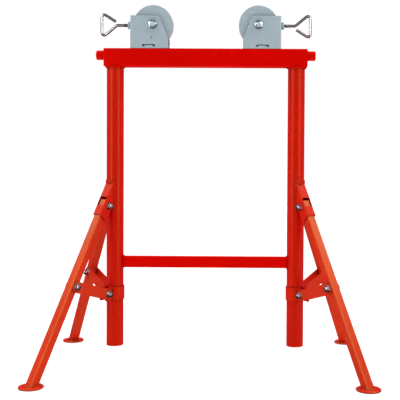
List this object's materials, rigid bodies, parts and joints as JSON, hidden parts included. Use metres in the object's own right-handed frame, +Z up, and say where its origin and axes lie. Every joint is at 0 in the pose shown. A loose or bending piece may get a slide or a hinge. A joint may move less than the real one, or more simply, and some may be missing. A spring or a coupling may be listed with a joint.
{
  "type": "roller pipe stand",
  "caption": "Free-standing stand for pipe: braked rollers on carriages that slide along a box beam, over tubular uprights with fold-in legs.",
  "frame": {"origin": "on the floor, midway between the two uprights", "axes": "+X along the beam to the right as seen from the front, +Y to the back, +Z up"},
  "size_m": [1.161, 0.7026, 1.275],
  "materials": {
    "red_paint": "semi-gloss red enamel over steel",
    "grey_paint": "satin blue-grey enamel over steel",
    "zinc_plate": "bright zinc plate",
    "bright_steel": "bright plated bent rod",
    "bronze": "plain turned bronze"
  },
  "bodies": {
    "frame": {"beam": "red_paint", "beam_welds": "red_paint", "crossbar": "red_paint", "leg_pivot_bolts": "zinc_plate", "end_plate_left": "red_paint", "end_stub_left": "red_paint", "upright_left": "red_paint", "leg_bracket_front_left": "red_paint", "leg_bracket_back_left": "red_paint", "end_plate_right": "red_paint", "end_stub_right": "red_paint", "upright_right": "red_paint", "leg_bracket_front_right": "red_paint", "leg_bracket_back_right": "red_paint"},
    "collar_left": {"collar_inner_strap_left": "red_paint", "collar_outer_strap_left": "red_paint", "collar_bolts_left": "zinc_plate"},
    "leg_front_left": {"leg_front_left": "red_paint", "foot_front_left": "red_paint", "link_pin_front_left": "zinc_plate"},
    "link_front_left": {"link_plates_front_left": "red_paint", "link_bolt_ends_front_left": "zinc_plate"},
    "leg_back_left": {"leg_back_left": "red_paint", "foot_back_left": "red_paint", "link_pin_back_left": "zinc_plate"},
    "link_back_left": {"link_plates_back_left": "red_paint", "link_bolt_ends_back_left": "zinc_plate"},
    "carriage_left": {"carriage_left": "grey_paint", "carriage_base_left": "grey_paint", "clamp_bolt_left": "zinc_plate", "clamp_plate_left": "zinc_plate", "axle_bolt_left": "zinc_plate", "brake_nut_left": "grey_paint"},
    "roller_left": {"roller_left": "grey_paint", "roller_bushings_left": "bronze"},
    "brake_tip_left": {"brake_tip_left": "bronze"},
    "brake_screw_left": {"brake_screw_left": "bright_steel"},
    "collar_right": {"collar_inner_strap_right": "red_paint", "collar_outer_strap_right": "red_paint", "collar_bolts_right": "zinc_plate"},
    "leg_front_right": {"leg_front_right": "red_paint", "foot_front_right": "red_paint", "link_pin_front_right": "zinc_plate"},
    "link_front_right": {"link_plates_front_right": "red_paint", "link_bolt_ends_front_right": "zinc_plate"},
    "leg_back_right": {"leg_back_right": "red_paint", "foot_back_right": "red_paint", "link_pin_back_right": "zinc_plate"},
    "link_back_right": {"link_plates_back_right": "red_paint", "link_bolt_ends_back_right": "zinc_plate"},
    "carriage_right": {"carriage_right": "grey_paint", "carriage_base_right": "grey_paint", "clamp_bolt_right": "zinc_plate", "clamp_plate_right": "zinc_plate", "axle_bolt_right": "zinc_plate", "brake_nut_right": "grey_paint"},
    "roller_right": {"roller_right": "grey_paint", "roller_bushings_right": "bronze"},
    "brake_tip_right": {"brake_tip_right": "bronze"},
    "brake_screw_right": {"brake_screw_right": "bright_steel"}
  },
  "joints": [
    {"name": "collar_slide_left", "type": "slide", "parent": "frame", "child": "collar_left", "axis": [0, 0, 1], "range_m": [-0.14988, 0]},
    {"name": "leg_fold_front_left", "type": "hinge", "parent": "frame", "child": "leg_front_left", "pos_m": [-0.34974, -0.03891, 0.564], "axis": [-0.8192, 0.5736, 0], "range_deg": [-26, 0]},
    {"name": "link_turn_front_left", "type": "hinge", "parent": "collar_left", "child": "link_front_left", "pos_m": [-0.3506, -0.04014, 0.253], "axis": [-0.8192, 0.5736, 0], "range_deg": [0, 65.51]},
    {"name": "leg_fold_back_left", "type": "hinge", "parent": "frame", "child": "leg_back_left", "pos_m": [-0.34974, 0.03891, 0.564], "axis": [0.8192, 0.5736, 0], "range_deg": [-26, 0]},
    {"name": "link_turn_back_left", "type": "hinge", "parent": "collar_left", "child": "link_back_left", "pos_m": [-0.3506, 0.04014, 0.253], "axis": [0.8192, 0.5736, 0], "range_deg": [0, 65.51]},
    {"name": "carriage_slide_left", "type": "slide", "parent": "frame", "child": "carriage_left", "axis": [-1, 0, 0], "range_m": [-0.11, 0.08]},
    {"name": "roller_spin_left", "type": "hinge", "parent": "carriage_left", "child": "roller_left", "pos_m": [-0.1865, 0, 1.205], "axis": [0, 1, 0], "continuous": true},
    {"name": "brake_feed_left", "type": "slide", "parent": "carriage_left", "child": "brake_tip_left", "axis": [-1, 0, 0], "range_m": [-0.00096, 0.0051]},
    {"name": "brake_turn_left", "type": "hinge", "parent": "brake_tip_left", "child": "brake_screw_left", "pos_m": [-0.2605, 0, 1.205], "axis": [-1, 0, 0], "range_deg": [-198, 1050]},
    {"name": "collar_slide_right", "type": "slide", "parent": "frame", "child": "collar_right", "axis": [0, 0, 1], "range_m": [-0.14988, 0]},
    {"name": "leg_fold_front_right", "type": "hinge", "parent": "frame", "child": "leg_front_right", "pos_m": [0.34974, -0.03891, 0.564], "axis": [-0.8192, -0.5736, 0], "range_deg": [-26, 0]},
    {"name": "link_turn_front_right", "type": "hinge", "parent": "collar_right", "child": "link_front_right", "pos_m": [0.3506, -0.04014, 0.253], "axis": [-0.8192, -0.5736, 0], "range_deg": [0, 65.51]},
    {"name": "leg_fold_back_right", "type": "hinge", "parent": "frame", "child": "leg_back_right", "pos_m": [0.34974, 0.03891, 0.564], "axis": [0.8192, -0.5736, 0], "range_deg": [-26, 0]},
    {"name": "link_turn_back_right", "type": "hinge", "parent": "collar_right", "child": "link_back_right", "pos_m": [0.3506, 0.04014, 0.253], "axis": [0.8192, -0.5736, 0], "range_deg": [0, 65.51]},
    {"name": "carriage_slide_right", "type": "slide", "parent": "frame", "child": "carriage_right", "axis": [1, 0, 0], "range_m": [-0.11, 0.08]},
    {"name": "roller_spin_right", "type": "hinge", "parent": "carriage_right", "child": "roller_right", "pos_m": [0.1865, 0, 1.205], "axis": [0, 1, 0], "continuous": true},
    {"name": "brake_feed_right", "type": "slide", "parent": "carriage_right", "child": "brake_tip_right", "axis": [1, 0, 0], "range_m": [-0.00096, 0.0051]},
    {"name": "brake_turn_right", "type": "hinge", "parent": "brake_tip_right", "child": "brake_screw_right", "pos_m": [0.2605, 0, 1.205], "axis": [1, 0, 0], "range_deg": [-198, 1050]}
  ],
  "couplings": [
    {"joint": "leg_fold_front_left", "follows": "collar_slide_left", "rad_per_m": 3.0277},
    {"joint": "link_turn_front_left", "follows": "collar_slide_left", "rad_per_m": -7.6281},
    {"joint": "leg_fold_back_left", "follows": "collar_slide_left", "rad_per_m": 3.0277},
    {"joint": "link_turn_back_left", "follows": "collar_slide_left", "rad_per_m": -7.6281},
    {"joint": "brake_turn_left", "follows": "brake_feed_left", "rad_per_m": 3590.4},
    {"joint": "leg_fold_front_right", "follows": "collar_slide_right", "rad_per_m": 3.0277},
    {"joint": "link_turn_front_right", "follows": "collar_slide_right", "rad_per_m": -7.6281},
    {"joint": "leg_fold_back_right", "follows": "collar_slide_right", "rad_per_m": 3.0277},
    {"joint": "link_turn_back_right", "follows": "collar_slide_right", "rad_per_m": -7.6281},
    {"joint": "brake_turn_right", "follows": "brake_feed_right", "rad_per_m": 3590.4}
  ]
}
